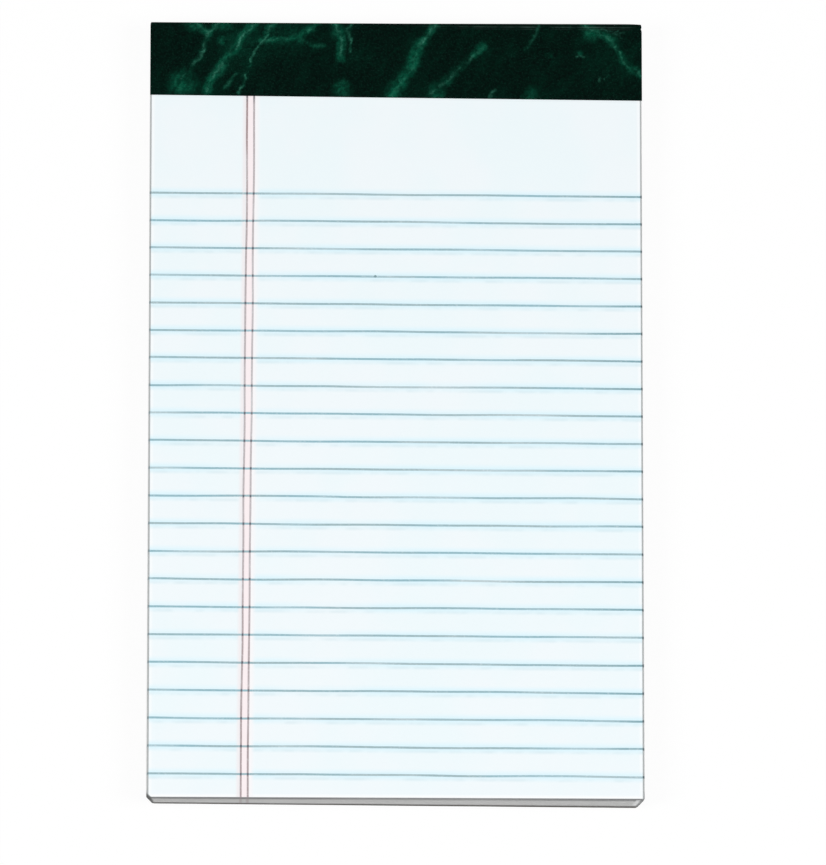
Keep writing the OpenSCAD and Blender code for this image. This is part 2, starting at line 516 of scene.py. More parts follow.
def sheet_edges(look, ink):
    """Cut sides of the sheets: grey, with painted shade along the top and bottom of the foot, ticked
    where the print runs off.
    """
    finish = new_finish("cut_sheet_edges", look.edge)
    x, y, z = finish.axes()
    side, foot = PAGE_SIDE / MM, PAGE_FOOT / MM
    depth = PAGE_TOP / MM - z
    deepest = (PAGE_TOP - SHEETS_LOW.z) / MM
    at_foot = y.fall(foot + 0.5, foot + 2.5)
    streaks = finish.noise(1, squeeze=(0.02, 0.02, 6.0))
    smudges = finish.noise(9, 3)
    finish.paint(streaks * 0.3 + smudges * 0.1, look.edge_streaks_and_shade)
    # Painted shade: the top 3 mm of the stack and its lowest sheets are darker along the foot, and so is
    # the cut by both worn corners
    shade_bands = depth.fall(0.6, 3.0).higher(depth.rise(deepest - 0.9, deepest) * 0.7)
    corner = corner_distance(look, x, y, depth)
    foot_shade = (shade_bands * at_foot).higher(corner.fall(0.1, 0.9))
    finish.paint(foot_shade * (0.6 + streaks.rise(0.3, 0.7) * 0.75), look.edge_streaks_and_shade)
    # Painted shade: the pressed rim of the top sheet is coloured grey
    finish.paint(depth.fall(0.05, 0.32), look.rim_shade)
    # Painted shade darkens the left corner of the foot, and a painted highlight lightens the right one
    # behind its rim
    finish.paint(corner.fall(0.05, 0.6) * x.fall(-side, 0) * 0.7, look.corner_shade)
    corner_highlight = corner.rise(0.5, 0.9) * corner.fall(1.3, 2.1) * x.rise(0, side) * at_foot
    deep = depth.rise(0.6, 1.4) * depth.fall(deepest - 1.4, deepest - 0.4)
    finish.paint(corner_highlight * deep * 0.5, look.rim_highlight)
    # On the pressed rim the rules' ticks are darker, most of all at the right
    offset, ruled = rule_offset(finish)
    ticks = abs(offset).fall(0.15, 0.5) * ruled
    finish.paint(ticks * 0.35, ink.rule)
    dark = depth.fall(0.2, 0.8) * (0.42 + x.rise(-side, side) * 0.34)
    finish.paint(ticks * dark, ink.rule_tick)
    beside, past = margin_offsets(finish)
    finish.paint(abs(beside).lower(abs(past)).fall(0.1, 0.6) * 0.4, ink.margin)
    return finish.surface(
        Roughness=0.86 + smudges * 0.1,
        Specular_IOR_Level=0.1,
        Normal=finish.bump(finish.noise(0.12), 0.01),
    )


def chipboard(look, name, ground):
    """Chipboard of matted fibres with dark and pale flecks, on a ground tone."""
    finish = new_finish(name, ground)
    clouds = finish.noise(14, 3)
    fibres = finish.noise(0.5, 4, 0.65, squeeze=(0.35, 1.0, 1.6))
    flecks = finish.noise(0.8, 2, 0.6)
    finish.paint(fibres.rise(0.42, 0.72) * 0.45 + clouds * 0.15, look.dark)
    finish.paint(flecks.rise(0.64, 0.7) * 0.55, look.light)
    finish.paint(flecks.fall(0.3, 0.36) * 0.6, look.dark)
    return finish.surface(
        Roughness=0.84 + fibres * 0.12,
        Specular_IOR_Level=0.15,
        Normal=finish.bump(fibres * 0.7 + flecks * 0.3, 0.03),
    )


def ink_wear(finish, size, squeeze):
    """Where ink runs thin along its line, and the ink's grain."""
    thin = finish.noise(size, squeeze=squeeze).rise(0.45, 0.75) * 0.3
    grain = finish.noise(0.3).rise(0.5, 0.75) * 0.3
    return thin, grain


def dry_ink(finish, grain):
    """Ends a shader as a dull film of ink."""
    return finish.surface(Roughness=0.7 + grain * 0.5, Specular_IOR_Level=0.15)


def rule_ink(look, paper, blot):
    """Pale blue ink that thins out here and there along its line, and one dark blot."""
    finish = new_finish("blue_rule_ink", look.rule)
    x, _, _ = finish.axes()
    thin, grain = ink_wear(finish, 24, (1.0, 4.0, 1.0))
    dull = finish.noise(18, squeeze=(0.6, 4.0, 1.0)).rise(0.38, 0.62)
    finish.paint(dull, look.rule_grey)
    finish.paint(x.rise(45, 66), look.rule_deep)
    finish.paint(thin + grain, paper)
    radius = look.speck / MM
    finish.paint(finish.distance(finish.place, blot / MM).fall(radius, radius * 1.5), look.blot)
    return dry_ink(finish, grain)


def margin_ink(look, paper):
    """Dull red ink, darker just below the tape and where it is printed over a rule."""
    finish = new_finish("red_margin_ink", look.margin)
    _, y, _ = finish.axes()
    thin, grain = ink_wear(finish, 20, (4.0, 1.0, 1.0))
    # The ink is greyer half way down the page and on the right line, and on the left line it is
    # deepest at the head
    on_right = margin_offsets(finish)[0].rise(0.6, 1.2)
    finish.paint(abs(y).fall(0, 90) * 0.85 + on_right * y.rise(-90, 0) * 0.6, look.margin_grey)
    finish.paint(y.rise(45, 80) * (1 - on_right), look.margin_deep)
    top = MARGIN_HIGH.y / MM
    finish.paint(y.rise(top - 2.4, top - 0.3) * 0.55, look.crossing)
    finish.paint(thin + grain, paper)
    offset, ruled = rule_offset(finish)
    finish.paint(abs(offset).fall(0.15, 0.5) * ruled * (1 - thin), look.crossing)
    return dry_ink(finish, grain)


def stitch_wire(look):
    """Galvanised wire with dull patches and drawing lines."""
    finish = new_finish("galvanised_wire", look.bright)
    patches = finish.noise(1.5, 3)
    lines = finish.noise(1, squeeze=(0.2, 8.0, 8.0))
    finish.paint(patches, look.dull)
    return finish.surface(Metallic=1.0, Roughness=0.28 + patches * 0.2, Normal=finish.bump(lines, 0.01))


# Veins of the marbling on the front flap: width of the band, its strength, strength of the pale
# vein inside it, then points in millimetres from the left side and down from the fold, with
# the points above the fold carrying the vein on over the spine
VEINS = (
    (1.0, 0.45, 0.6, ((8, 14.5), (9.7, 12), (12.4, 9), (13.6, 6), (14.5, 3), (17, 0.3), (24, -5))),
    (1.7, 0.75, 0.25, ((14.8, 3), (16.4, 1), (18.5, -1))),
    (1.8, 0.8, 0.25, ((14.5, 2), (12.6, 0.5), (8.5, -3), (7.5, -8.5))),
    (2.0, 0.95, 0.8, ((14.5, 18), (15, 15.5), (18, 11), (21.5, 6.5), (24, 2.5), (26.5, 0), (33.5, -8.5))),
    (0.9, 0.5, 0.5, ((22.8, 18), (24, 15.5), (26, 9.5), (27.5, 6), (29.3, 4), (30.3, 2), (30.9, 0))),
    (1.6, 0.75, 0.2, ((29.8, 3.2), (30.8, 0.2), (34.5, -5))),
    (1.6, 0.9, 0.35, ((29, 4.2), (32.5, 4), (35, 3.8), (37.5, 3), (40.5, 1.6), (42, 0.5), (47, -8.5))),
    (1.1, 0.45, 0.1, ((37.5, 3), (40, 4), (43, 5.8), (45, 5.6))),
    (1.0, 0.4, 0.15, ((19.5, 16.5), (20.5, 15), (22, 13))),
    (2.0, 0.8, 0.5, ((49.4, 8), (49.4, 4), (48.9, 2), (48, 0), (46.5, -3))),
    (0.9, 0.35, 0.25, ((52, 7), (52.2, 4.8), (50.7, 1), (53, -2), (58, -8.5))),
    (2.3, 1.0, 0.15, ((62.4, 18.2), (65.6, 13.8), (67.2, 11.4), (68.8, 7), (69.8, 4.6))),
    (1.5, 0.85, 0.5, ((69.8, 4.6), (71, 2.9), (72.8, 0.8), (73.6, 0), (80, -8.5))),
    (1.3, 0.27, 0.25, ((72, 17.8), (76, 15), (78, 12.5), (79.5, 11.7), (82, 9.5), (84, 7.8))),
    (1.7, 0.75, 0.15, ((84, 7.8), (85, 6.4), (86.1, 5.3))),
    (0.9, 0.26, 0.15, ((96.8, 6.3), (98, 4.2), (99.6, 1.9), (100.5, 0), (103, -8.5))),
    (1.7, 0.75, 0.35, ((104, -8.5), (110, -3.6), (113, -0.4), (116, 1.5), (118.6, 2.6), (120.3, 5))),
    (1.5, 0.65, 0.35, ((120.3, 5), (121.8, 7.2), (122.3, 9), (123.6, 10.4), (125.2, 11.1), (128, 13))),
    (0.7, 0.2, 0.45, ((86.9, 19.4), (88.4, 17.9), (89.8, 16.6))),
    (0.7, 0.2, 0.4, ((115.9, 14.6), (116.9, 13.4))),
    (0.7, 0.2, 0.4, ((117.6, 13.8), (118.3, 12.6))),
    (0.8, 0.2, 0.35, ((110.3, 7.9), (111.3, 7.6), (112.3, 8))),
    (0.6, 0.1, 0.3, ((116.5, 0.3), (118.6, 1), (120.6, 1.1))),
    (0.6, 0.1, 0.25, ((119.2, 1.5), (120.6, 2.1), (121.9, 2.9))),
    (0.6, 0.1, 0.2, ((120.5, 2.3), (122.5, 1.6))),
)

# Clouds of the marbling: middle from the left side and down from the fold, radius and strength
CLOUDS = (
    (8.2, 16, 5.2, 1.0),
    (11, 0, 2.6, 0.8),
    (18.5, 4, 2.0, 0.6),
    (19.5, -0.2, 3.0, 0.8),
    (24, 5, 11, 0.24),
    (36, 2, 9, 0.24),
    (34, 3.8, 2.4, 0.7),
    (38.5, 3.4, 2.6, 0.7),
    (42, 0.5, 2.2, 0.6),
    (48.5, 2, 3.0, 0.8),
    (49.5, 16.6, 3.6, 0.9),
    (64, 16.5, 3.6, 0.8),
    (74, 17.5, 3.4, 0.8),
    (76.5, 14.5, 2.2, 0.6),
    (98.5, 18, 3.0, 0.55),
    (103, 7.5, 1.2, 0.35),
    (111.5, 7, 1.4, 0.6),
    (114, 1.7, 3.2, 1.0),
    (119, 9, 10, 0.1),
)

# Lean of the marbling's run, from straight across towards the fold, and how far it is drawn out
VEIN_SLANT = math.radians(58)
VEIN_STRETCH = 2.6
# Half width of a pale vein in millimetres, and how much wider a band's haze is than the band
VEIN_HALF = 0.55
HAZE = 2.2
# What bends the marbling: size of the noise and how far it moves a point, in millimetres
BENDS = ((5, 2.4), (1.2, 1.0))


def vein_distance(finish, place, points):
    """Distance in millimetres from a point on the flat tape to a vein."""
    nearest = None
    for start, end in zip(points, points[1:]):
        run = Vector((end[0] - start[0], end[1] - start[1], 0))
        reach = finish.vector("SUBTRACT", place, (*start, 0))
        along = finish.vector("DOT_PRODUCT", reach, run / run.length_squared, output="Value")
        distance = finish.distance(reach, finish.scaled(run, along.higher(0).lower(1)))
        nearest = nearest.lower(distance) if nearest else distance
    return nearest


def marbled_paper(look):
    """Dark green marbling: black ground, green clouds, emerald bands and pale broken veins."""
    finish = new_finish("marbled_tape", look.black)
    flat = finish.scaled(finish.node("ShaderNodeUVMap", {"uv_map": "unrolled"}), 1 / MM)
    across, down, _ = finish.axes(flat)
    half, spine = TAPE_HIGH.x / MM, SPINE / MM
    # The back flap carries the front's marbling turned over
    front = finish.joined(across + half, down, 0)
    back = finish.joined(half - across, -spine - down, 0)
    place = finish.mix(down.fall(-spine - 0.01, -spine + 0.01), front, back, "VECTOR")
    bent = place
    for size, reach in BENDS:
        stray = finish.vector("SUBTRACT", finish.noise(size, at=place, output="Color"), (0.5, 0.5, 0.5))
        bent = finish.vector("ADD", bent, finish.scaled(stray, reach))
    slanted = finish.node(
        "ShaderNodeMapping",
        {"vector_type": "TEXTURE"},
        {"Vector": bent, "Rotation": (0, 0, -VEIN_SLANT), "Scale": (VEIN_STRETCH, 1, 1)},
    )
    torn = finish.noise(0.9, 4, 0.55, slanted)
    streaks = torn.rise(0.36, 0.64)
    clouds = finish.noise(3.5, 4, 0.6, slanted).rise(0.45, 0.75)
    knots = finish.noise(0.9, 3, 0.6, bent).rise(0.38, 0.66)
    patches = finish.noise(2.2, 3, 0.6, place).rise(0.34, 0.64)
    mottle = finish.noise(0.9, 3, 0.6, place).rise(0.36, 0.66)
    specks = finish.noise(0.4, 2, 0.6, place).rise(0.52, 0.72)
    grain = finish.noise(0.3, 2, 0.6, place).rise(0.3, 0.7)
    swell = 0.7 + finish.noise(5, at=place) * 0.6
    haze, bands, veins = 0.0, 0.0, 0.0
    for width, strength, vein, points in VEINS:
        distance = vein_distance(finish, bent, points) * swell
        haze = (distance.fall(0.0, width * HAZE) * strength).higher(haze)
        bands = (distance.fall(0.0, width) * strength).higher(bands)
        veins = (distance.fall(0.0, VEIN_HALF) * vein).higher(veins)
    for x, y, radius, strength in CLOUDS:
        distance = finish.distance(bent, (x, y, 0))
        bands = (distance.fall(0.0, radius) * strength * 0.8).higher(bands)
    finish.paint(clouds * 0.35 + mottle * (0.08 + grain * 0.3), look.green)
    finish.paint(haze * (0.06 + patches * 0.4), look.green)
    dense = (0.28 + streaks * 0.42 + patches * 0.42) * (0.5 + mottle * 0.4 + grain * 0.6)
    finish.paint(bands * dense, look.emerald)
    finish.paint(bands * streaks * knots * 0.14, look.pale)
    broken = (0.12 + patches * 0.6 + knots * 0.5) * (0.35 + streaks * 0.8) * (0.6 + grain * 0.8)
    finish.paint(veins * broken, look.pale)
    finish.paint(specks * 0.07, look.pale)
    # Painted highlight on the fold in two thin lines over its right half, where it begins and just below
    lines = abs(down).fall(0.0, 0.25).higher(abs(down - 0.55).fall(0.0, 0.25) * 0.35)
    highlighted = lines * finish.noise(6, 3, at=flat).rise(0.35, 0.65) * across.rise(0, 30)
    # The worn colour is painted highlight on the fold
    finish.paint(highlighted * 0.28, look.worn)
    return finish.surface(
        Roughness=0.42 + torn * 0.12,
        Specular_IOR_Level=0.02,
        Normal=finish.bump(finish.noise(0.3, 3, at=flat), 0.008),
    )


# Edges of a smooth piece that turn by more than this stay sharp
SHARP = math.radians(35)


def add_piece(name, points, faces, replaced, materials, pick=None, smooth=False):
    """A mesh piece that rides on the pad and stands for a node of the frame."""
    mesh = bpy.data.meshes.new(name)
    mesh.from_pydata(points, [], faces)
    for material in materials:
        mesh.materials.append(material)
    if pick:
        for polygon in mesh.polygons:
            polygon.material_index = pick[polygon.index]
    shape = bmesh.new()
    shape.from_mesh(mesh)
    bmesh.ops.recalc_face_normals(shape, faces=shape.faces)
    shape.to_mesh(mesh)
    shape.free()
    if smooth:
        mesh.shade_smooth()
        mesh.set_sharp_from_angle(angle=SHARP)
    piece = bpy.data.objects.new(name, mesh)
    bpy.context.scene.collection.objects.link(piece)
    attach(piece, "root")
    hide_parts(replaced)
    return piece


def spread(steps, power):
    """Shares from 0 to 1 in an even number of steps, closer together towards both ends."""
    half = [0.5 * (2 * i / steps) ** power for i in range(steps // 2 + 1)]
    return half + [1 - part for part in half[-2::-1]]


def border(wide, long):
    """Places round the border of a grid with this many steps across and along."""
    down = [(0, j) for j in range(long)]
    foot = [(i, long) for i in range(wide)]
    up = [(wide, j) for j in range(long, 0, -1)]
    head = [(i, 0) for i in range(wide, 0, -1)]
    return down + foot + up + head


def share_down(z):
    """0 at the top sheet and 1 at the back of the board."""
    return (PAGE_TOP - z) / (PAGE_TOP - BOARD_LOW.z)


def looseness(y):
    """0 at the bound head and 1 at the foot of the top sheet."""
    return (SHEETS_HIGH.y - y) / (SHEETS_HIGH.y - PAGE_FOOT)


def foot_at(z):
    """Where the slanted foot of the pad lies at a height."""
    return between(PAGE_FOOT, BOARD_LOW.y, share_down(z))


def head_at(head, fold, depth):
    """Where a head lies at a depth below its face, just clear of the tape's rounded fold."""
    radius = fold - TAPE_THICK
    past = max(radius - depth, 0)
    return head - SAME_PLACE - radius + math.sqrt(max(radius**2 - past**2, 0))


def rounding(depth, reach, inset):
    """How far a rounded edge stands back at a depth: by its inset at the face, and 0 past its reach."""
    part = depth / reach
    return inset * (1 - math.sqrt(1 - (1 - part) ** 2)) if part < 1 else 0.0


def twisted(point, twist):
    """How far the cut at the foot runs out below the top sheet, more to the right than the left."""
    x, y, z = point
    return twist * share_down(z) * looseness(y) * (x / PAGE_SIDE + 1) / 2


def cut_corner(x, y, leg):
    """Moves a point, given by its distances from two sides, so that a straight cut joins the sides."""
    if x >= leg or y >= leg:
        return x, y
    a = 1 - x / leg
    b = 1 - y / leg
    return leg * (1 - a * (1 - b / 2)), leg * (1 - b * (1 - a / 2))


class Slab:
    """A closed stack of level outlines, each on the same grid across and along the page."""

    WIDE, LONG = 44, 60
    # Shares of the width and the length, closer together towards the rim
    ACROSS, ALONG = spread(WIDE, 3), spread(LONG, 3)
    BORDER = border(WIDE, LONG)

    def __init__(self, sheets):
        self.sheets = sheets
        self.points = []
        self.faces = []
        self.last = None

    def spot(self, i, j, limits, stray):
        """Adds a point of the grid and returns its number. The limits of its level are its left,
        right, foot, head and height."""
        left, right, foot, head, z = limits
        x = between(left, right, self.ACROSS[i])
        y = between(head, foot, self.ALONG[j])
        look = self.sheets
        if x - left < right - x:
            side, inward, corner, wear = left, 1, look.left_corner, look.left_wear
        else:
            side, inward, corner, wear = right, -1, look.right_corner, look.right_wear
        inset, rise = cut_corner((x - side) * inward, y - foot, corner + wear * share_down(z))
        point = [side + inset * inward, foot + rise, z]
        self.points.append(stray(point) if stray else point)
        return len(self.points) - 1

    def ring(self, limits, stray=None):
        """Adds an outline above the last one, and the faces between them."""
        ring = [self.spot(i, j, limits, stray) for i, j in self.BORDER]
        if self.last:
            self.faces += zip(self.last, self.last[1:] + self.last[:1], ring[1:] + ring[:1], ring)
        self.last = ring

    def cap(self, limits, stray=None):
        """Closes the last outline with a grid of faces, and returns how many it added."""
        index = dict(zip(self.BORDER, self.last))
        for i in range(1, self.WIDE):
            for j in range(1, self.LONG):
                index[i, j] = self.spot(i, j, limits, stray)
        for i in range(self.WIDE):
            for j in range(self.LONG):
                corners = ((i, j), (i + 1, j), (i + 1, j + 1), (i, j + 1))
                self.faces.append(tuple(index[corner] for corner in corners))
        return self.WIDE * self.LONG


class LEGALPAD_OT_sheets(bpy.types.Operator):
    """Stack of single cut sheets, pressed in along the rim of the top one"""

    bl_idname = "legal_pad.sheets"
    bl_label = "Ruled sheets"

    # How many sheets at the top lie in line with the print, and the seed of the others' stray
    ALIGNED = 2
    SEED = 50
    # How fast the cut's stray changes, per metre of the page and of the stack's height
    CUT_PACE, STACK_PACE = 40, 9000

    def execute(self, context):
        look = context.scene.pad_sheets
        ink = context.scene.pad_print
        dice = random.Random(self.SEED)
        pitch = (PAGE_TOP - SHEETS_LOW.z) / look.sheets
        slab = Slab(look)

        def limits(z, inset):
            pressed = rounding(PAGE_TOP - z, look.roll_depth, look.roll)
            side = PAGE_SIDE - inset - pressed
            foot = foot_at(z) + inset + pressed * look.foot_roll / look.roll
            return -side, side, foot, head_at(SHEETS_HIGH.y, FRONT_FOLD, PAGE_TOP - z), z

        def stray(sway, shift):
            def move(point):
                x, y, z = point
                wave = ripple(x * self.CUT_PACE, y * self.CUT_PACE, z * self.STACK_PACE) * look.wander
                loose = looseness(y)
                return [x + sway * loose, y + (shift + wave) * loose - twisted(point, look.twist), z]

            return move

        last_cut = 0.0
        for sheet in range(look.sheets):
            loose = 0.0 if sheet >= look.sheets - self.ALIGNED else 1.0
            cut = loose * dice.gauss(0, look.wander)
            move = stray(loose * dice.gauss(0, look.sway), loose * dice.gauss(0, look.wander * 2))
            low = SHEETS_LOW.z + sheet * pitch
            groove = limits(low, max(cut, last_cut) + look.groove)
            slab.ring(groove, move)
            if sheet == 0:
                slab.cap(groove, move)
            slab.ring(limits(low + pitch / 2, cut), move)
            last_cut = cut
        top = limits(PAGE_TOP, 0.0)
        slab.ring(top)
        face_count = slab.cap(top)
        pick = [1] * (len(slab.faces) - face_count) + [0] * face_count
        materials = (paper_face(look, ink), sheet_edges(look, ink))
        add_piece("page_stack", slab.points, slab.faces, "ruled_sheets", materials, pick)
        return {"FINISHED"}


class LEGALPAD_OT_board(bpy.types.Operator):
    """Chipboard back with softened, slightly rough edges"""

    bl_idname = "legal_pad.board"
    bl_label = "Chipboard back"

    LEVELS = 12
    # How fast the rough edge's stray changes, per metre along the board and of its thickness
    EDGE_PACE, LEVEL_PACE = 900, 2500

    def execute(self, context):
        look = context.scene.pad_board
        sheets = context.scene.pad_sheets
        low, high = BOARD_LOW.z, BOARD_HIGH.z
        slab = Slab(sheets)

        def limits(z):
            inset = rounding(min(z - low, high - z), look.soften, look.soften)
            side = BOARD_HIGH.x - inset
            return -side, side, foot_at(z) + inset, head_at(BOARD_HIGH.y, BACK_FOLD, z - low), z

        def move(point):
            x, y, z = point
            wave = ripple(x * self.EDGE_PACE, y * self.EDGE_PACE, z * self.LEVEL_PACE) * look.rough
            return [x + wave, min(y + wave, BOARD_HIGH.y) - twisted(point, sheets.twist), z]

        levels = [limits(between(low, high, part)) for part in spread(self.LEVELS, 2)]
        slab.ring(levels[0], move)
        face_count = slab.cap(levels[0], move)
        for level in levels[1:]:
            slab.ring(level, move)
        slab.cap(levels[-1], move)
        pick = [0] * face_count + [1] * (len(slab.faces) - 2 * face_count) + [0] * face_count
        materials = (
            chipboard(look, "grey_chipboard", look.grey),
            # The cut edge is the board's darker cut, partly painted shade
            chipboard(look, "shaded_cut_chipboard", look.cut),
        )
        add_piece("chipboard_back", slab.points, slab.faces, "backing_board", materials, pick)
        return {"FINISHED"}


class LEGALPAD_OT_tape(bpy.types.Operator):
    """Strip of marbled tape folded over the head, raised a little over the stitches"""

    bl_idname = "legal_pad.tape"
    bl_label = "Binding tape"

    COLUMNS = 140
    FLAP_ROWS = 44
    FOLD_ROWS = 8
    SPINE_ROWS = 8
    # A row that faces up by more than this lies on the front flap
    FACE_UP = 0.99
    # Run of the rise beside a stitch, and how fast the face waves, per metre, at a level of the noise
    RIDGE_RUN = 0.5 * MM
    WAVE_PACE, WAVE_LEVEL = 90, 3.0
    # Where the nick lies below the start of the fold, and how wide it is
    NICK_PLACE = 0.4 * MM
    NICK_WIDTH = 0.35 * MM

    def section(self):
        """Rows along the folded strip, from the cut edge in front to the one behind. For an x each
        gives the outer point's y and z, the y and z of its outward side, and the length of flat tape
        from the front fold, positive down the writing face."""
        top, floor, head = TAPE_HIGH.z, TAPE_LOW.z, TAPE_HIGH.y

        def flap_row(part, ends, fold, z, out_z):
            def row(x):
                cut = between(*ends, (x - TAPE_LOW.x) / (TAPE_HIGH.x - TAPE_LOW.x))
                y = between(cut, head - fold, part)
                reach = head - fold - y
                return y, z, 0.0, out_z, reach if out_z > 0 else -SPINE - reach

            return row

        def head_row(turn, fold, middle, down):
            out_y, out_z = math.sin(turn), math.cos(turn)
            return lambda x: (head - fold + fold * out_y, middle + fold * out_z, out_y, out_z, down)

        def parts(steps):
            return [(step + 1) / steps for step in range(steps)]

        rows = [flap_row(0.0, FRONT_EDGE, FRONT_FOLD, top, 1.0)]
        for part in parts(self.FLAP_ROWS):
            rows.append(flap_row(part, FRONT_EDGE, FRONT_FOLD, top, 1.0))
        for part in parts(self.FOLD_ROWS):
            turn = QUARTER * part
            rows.append(head_row(turn, FRONT_FOLD, top - FRONT_FOLD, -FRONT_FOLD * turn))
        for part in parts(self.SPINE_ROWS):
            fallen = SPINE_FLAT * part
            down = -FRONT_FOLD * QUARTER - fallen
            rows.append(head_row(QUARTER, 0.0, top - FRONT_FOLD - fallen, down))
        for part in parts(self.FOLD_ROWS):
            turn = QUARTER * part
            down = BACK_FOLD * (QUARTER - turn) - SPINE
            rows.append(head_row(QUARTER + turn, BACK_FOLD, floor + BACK_FOLD, down))
        for part in parts(self.FLAP_ROWS):
            rows.append(flap_row(1 - part, BACK_EDGE, BACK_FOLD, floor, -1.0))
        return rows

    def lift(self, look, x, y):
        """How far the tape's front face stands up at a point."""
        beyond = max(STITCH_START - abs(x), abs(x) - STITCH_HIGH.x, 0.0)
        beside = max(STITCH_LOW.y - y, y - STITCH_HIGH.y, 0.0)
        near = math.exp(-(beyond**2 + beside**2) / self.RIDGE_RUN**2)
        wave = ripple(x * self.WAVE_PACE, y * self.WAVE_PACE, self.WAVE_LEVEL)
        return look.ridge * near + look.wave * wave

    def spot(self, look, row, column, inside):
        """A point of the folded tape, and where it lies on the flat tape."""
        x = between(TAPE_LOW.x, TAPE_HIGH.x, column / self.COLUMNS)
        y, z, out_y, out_z, down = row(x)
        # Towards the right the fold stands proud of the head, and its right end is flattened
        proud = look.swell * out_y * max(x / TAPE_HIGH.x, 0.0)
        flattened = max(x - TAPE_HIGH.x + look.droop_run, 0.0) / look.droop_run
        if inside:
            out = -TAPE_THICK
        elif out_z > self.FACE_UP:
            out = self.lift(look, x, y)
        else:
            out = -look.droop * out_y * flattened**2
        # The fold's ends stand back, and the right end overhangs the pad and has a nick
        folded = look.fold_ends * min(max(-down / FRONT_FOLD, 0.0), 1.0)
        if column == 0:
            x += folded
        if column == self.COLUMNS:
            nick = look.nick * math.exp(-(((down - self.NICK_PLACE) / self.NICK_WIDTH) ** 2))
            x += look.overhang - folded - nick
        return (x, y + out * out_y + proud, z + out * out_z), (x, down)

    def execute(self, context):
        look = context.scene.pad_tape
        rows = self.section()
        points, flat = [], []
        for inside in (False, True):
            for row in rows:
                for column in range(self.COLUMNS + 1):
                    point, place = self.spot(look, row, column, inside)
                    points.append(point)
                    flat.append(place)
        wide = self.COLUMNS + 1
        sheet = wide * len(rows)
        faces = []
        for i in range(len(rows) - 1):
            for j in range(self.COLUMNS):
                a = i * wide + j
                faces.append((a, a + 1, a + wide + 1, a + wide))
                faces.append((sheet + a, sheet + a + wide, sheet + a + wide + 1, sheet + a + 1))
        rim = [i * wide + j for j, i in reversed(border(self.COLUMNS, len(rows) - 1))]
        for a, b in zip(rim, rim[1:] + rim[:1]):
            faces.append((a, b, sheet + b, sheet + a))
        materials = (marbled_paper(look),)
        piece = add_piece(
            "marbled_tape", points, faces, "binding_tape", materials, smooth=True
        )
        unrolled = piece.data.uv_layers.new(name="unrolled")
        for loop in piece.data.loops:
            unrolled.data[loop.index].uv = flat[loop.vertex_index]
        return {"FINISHED"}


class LEGALPAD_OT_wire(bpy.types.Operator):
    """Galvanised finish for the flat wire stitches"""

    bl_idname = "legal_pad.wire"
    bl_label = "Wire stitches"

    def execute(self, context):
        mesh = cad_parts["wire_stitches"].data
        mesh.materials.clear()
        mesh.materials.append(stitch_wire(context.scene.pad_wire))
        return {"FINISHED"}


class InkLines:
    """Films of ink on the page: strips with ragged edges, and blots."""

    # Places in the noise: from one line to the next, along a line, and its level for a line or an edge
    DRIFT_NEXT, DRIFT_LEVEL = 1.7, 2.5
    RAGGED_NEXT, RAGGED_PACE, RAGGED_LEVEL = 3.1, 0.37, 5.3
    # A blot's corners, how uneven it is, its level in the noise, and its height in films of ink
    BLOT_SIDES, BLOT_UNEVEN, BLOT_LEVEL, BLOT_FILMS = 14, 0.3, 8.0, 1.5

    def __init__(self, look, sunk):
        """The ink lies in the paper by a share of its film."""
        self.look = look
        self.base = PAGE_TOP - INK_THICK * sunk
        self.points = []
        self.faces = []

    def strip(self, start, end, width, number):
        """A strip from one point of the page to another, which strays in its number's own way."""
        look = self.look
        start = Vector(start)
        run = Vector(end) - start
        steps = max(int(run.length / look.step), 1)
        pace = run.length / steps / look.drift_run
        side = Vector((-run.y, run.x)).normalized()
        first = len(self.points)
        for k in range(steps + 1):
            drift = ripple(k * pace, number * self.DRIFT_NEXT, self.DRIFT_LEVEL) * look.drift
            middle = start + run * (k / steps) + side * drift
            for edge in (-1, 1):
                stray = ripple(k * self.RAGGED_PACE, number * self.RAGGED_NEXT, edge * self.RAGGED_LEVEL)
                spot = middle + side * edge * (width / 2 + look.gain + stray * look.ragged)
                self.points += [(*spot, self.base), (*spot, self.base + INK_THICK)]
        for k in range(steps):
            a = first + 4 * k
            b = a + 4
            for low, high in ((0, 1), (1, 3), (3, 2), (2, 0)):
                self.faces.append((a + low, a + high, b + high, b + low))
        end_ring = first + 4 * steps
        self.faces.append((first, first + 2, first + 3, first + 1))
        self.faces.append((end_ring, end_ring + 1, end_ring + 3, end_ring + 2))

    def blot(self, x, y, radius):
        """A small uneven blot."""
        sides = self.BLOT_SIDES
        first = len(self.points)
        for level in (self.base, self.base + INK_THICK * self.BLOT_FILMS):
            for k in range(sides):
                turn = 2 * math.pi * k / sides
                out_x, out_y = math.cos(turn), math.sin(turn)
                reach = radius * (1 + self.BLOT_UNEVEN * ripple(out_x, out_y, self.BLOT_LEVEL))
                self.points.append((x + reach * out_x, y + reach * out_y, level))
        for k in range(sides):
            after = (k + 1) % sides
            self.faces.append((first + k, first + after, first + sides + after, first + sides + k))
        self.faces.append(tuple(range(first + sides - 1, first - 1, -1)))
        self.faces.append(tuple(range(first + sides, first + 2 * sides)))


